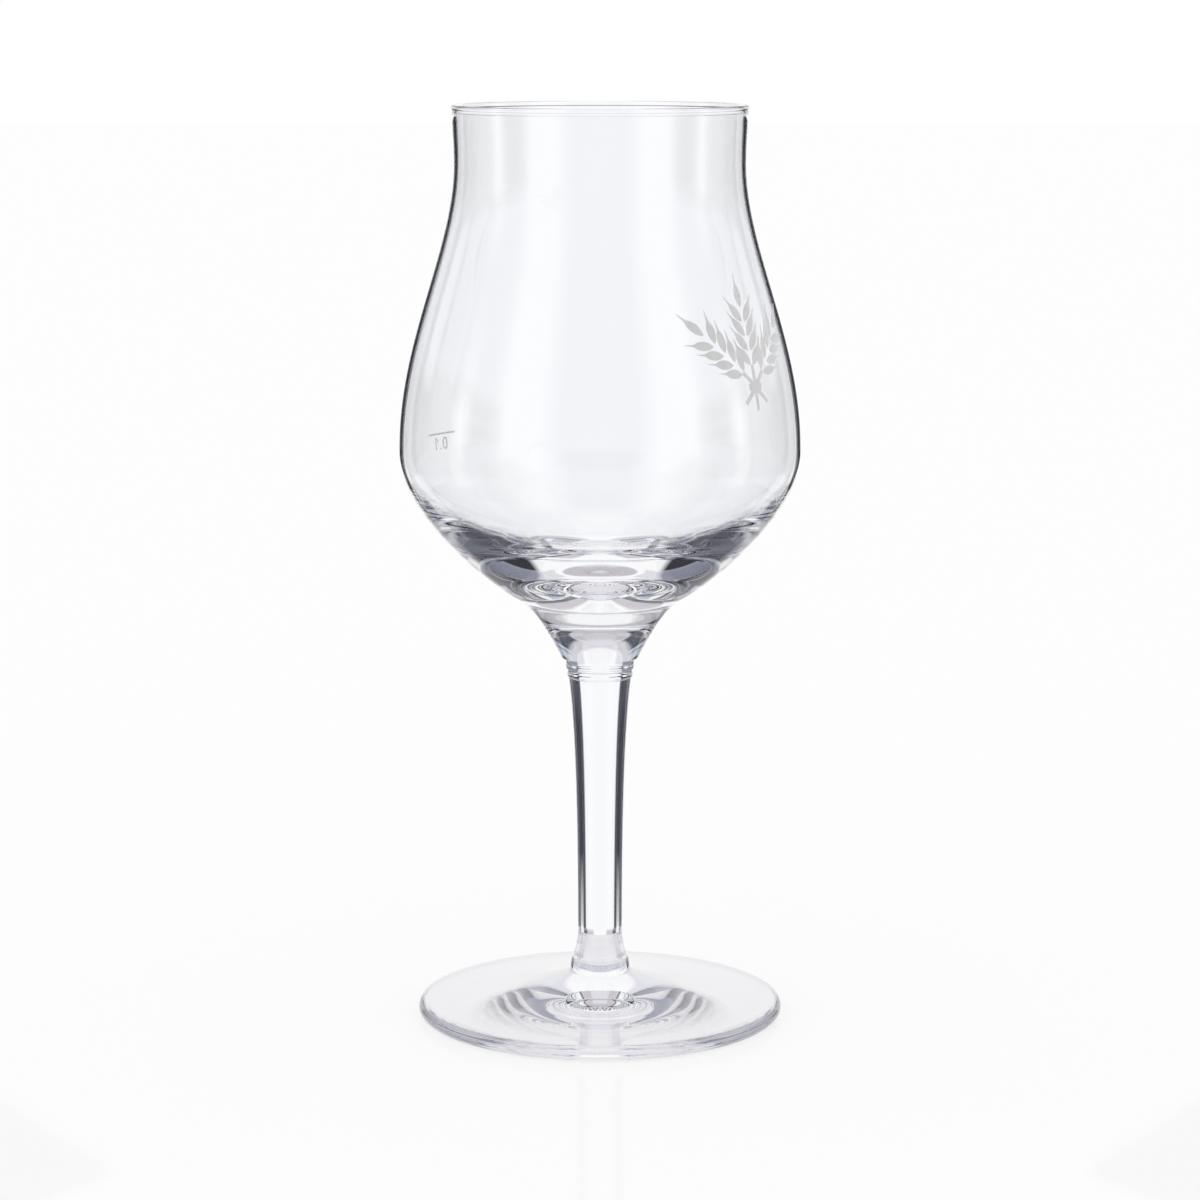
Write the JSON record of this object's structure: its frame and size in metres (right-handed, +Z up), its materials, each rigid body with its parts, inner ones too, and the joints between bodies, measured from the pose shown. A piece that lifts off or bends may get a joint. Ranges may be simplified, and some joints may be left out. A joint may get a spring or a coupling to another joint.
{
  "type": "tulip beer glass",
  "caption": "Stemmed clear tulip beer glass with a drawn-in waist, wide belly, thick solid base, slim stem, disc foot, an enamel print and a fill line.",
  "frame": {"origin": "centre of the foot's resting ring, on the surface that the glass stands on", "axes": "+Z up the axis of the glass towards the lip; -Y is the front, so that the enamel print lies right of the front and the fill mark at the back left"},
  "size_m": [0.085, 0.085, 0.195],
  "materials": {
    "glass": "clear polished soda-lime glass",
    "enamel": "fired light grey enamel, satin"
  },
  "bodies": {
    "root": {"bowl": "glass", "stem": "glass", "foot": "glass", "front_print": "enamel", "fill_mark": "enamel"}
  },
  "joints": []
}
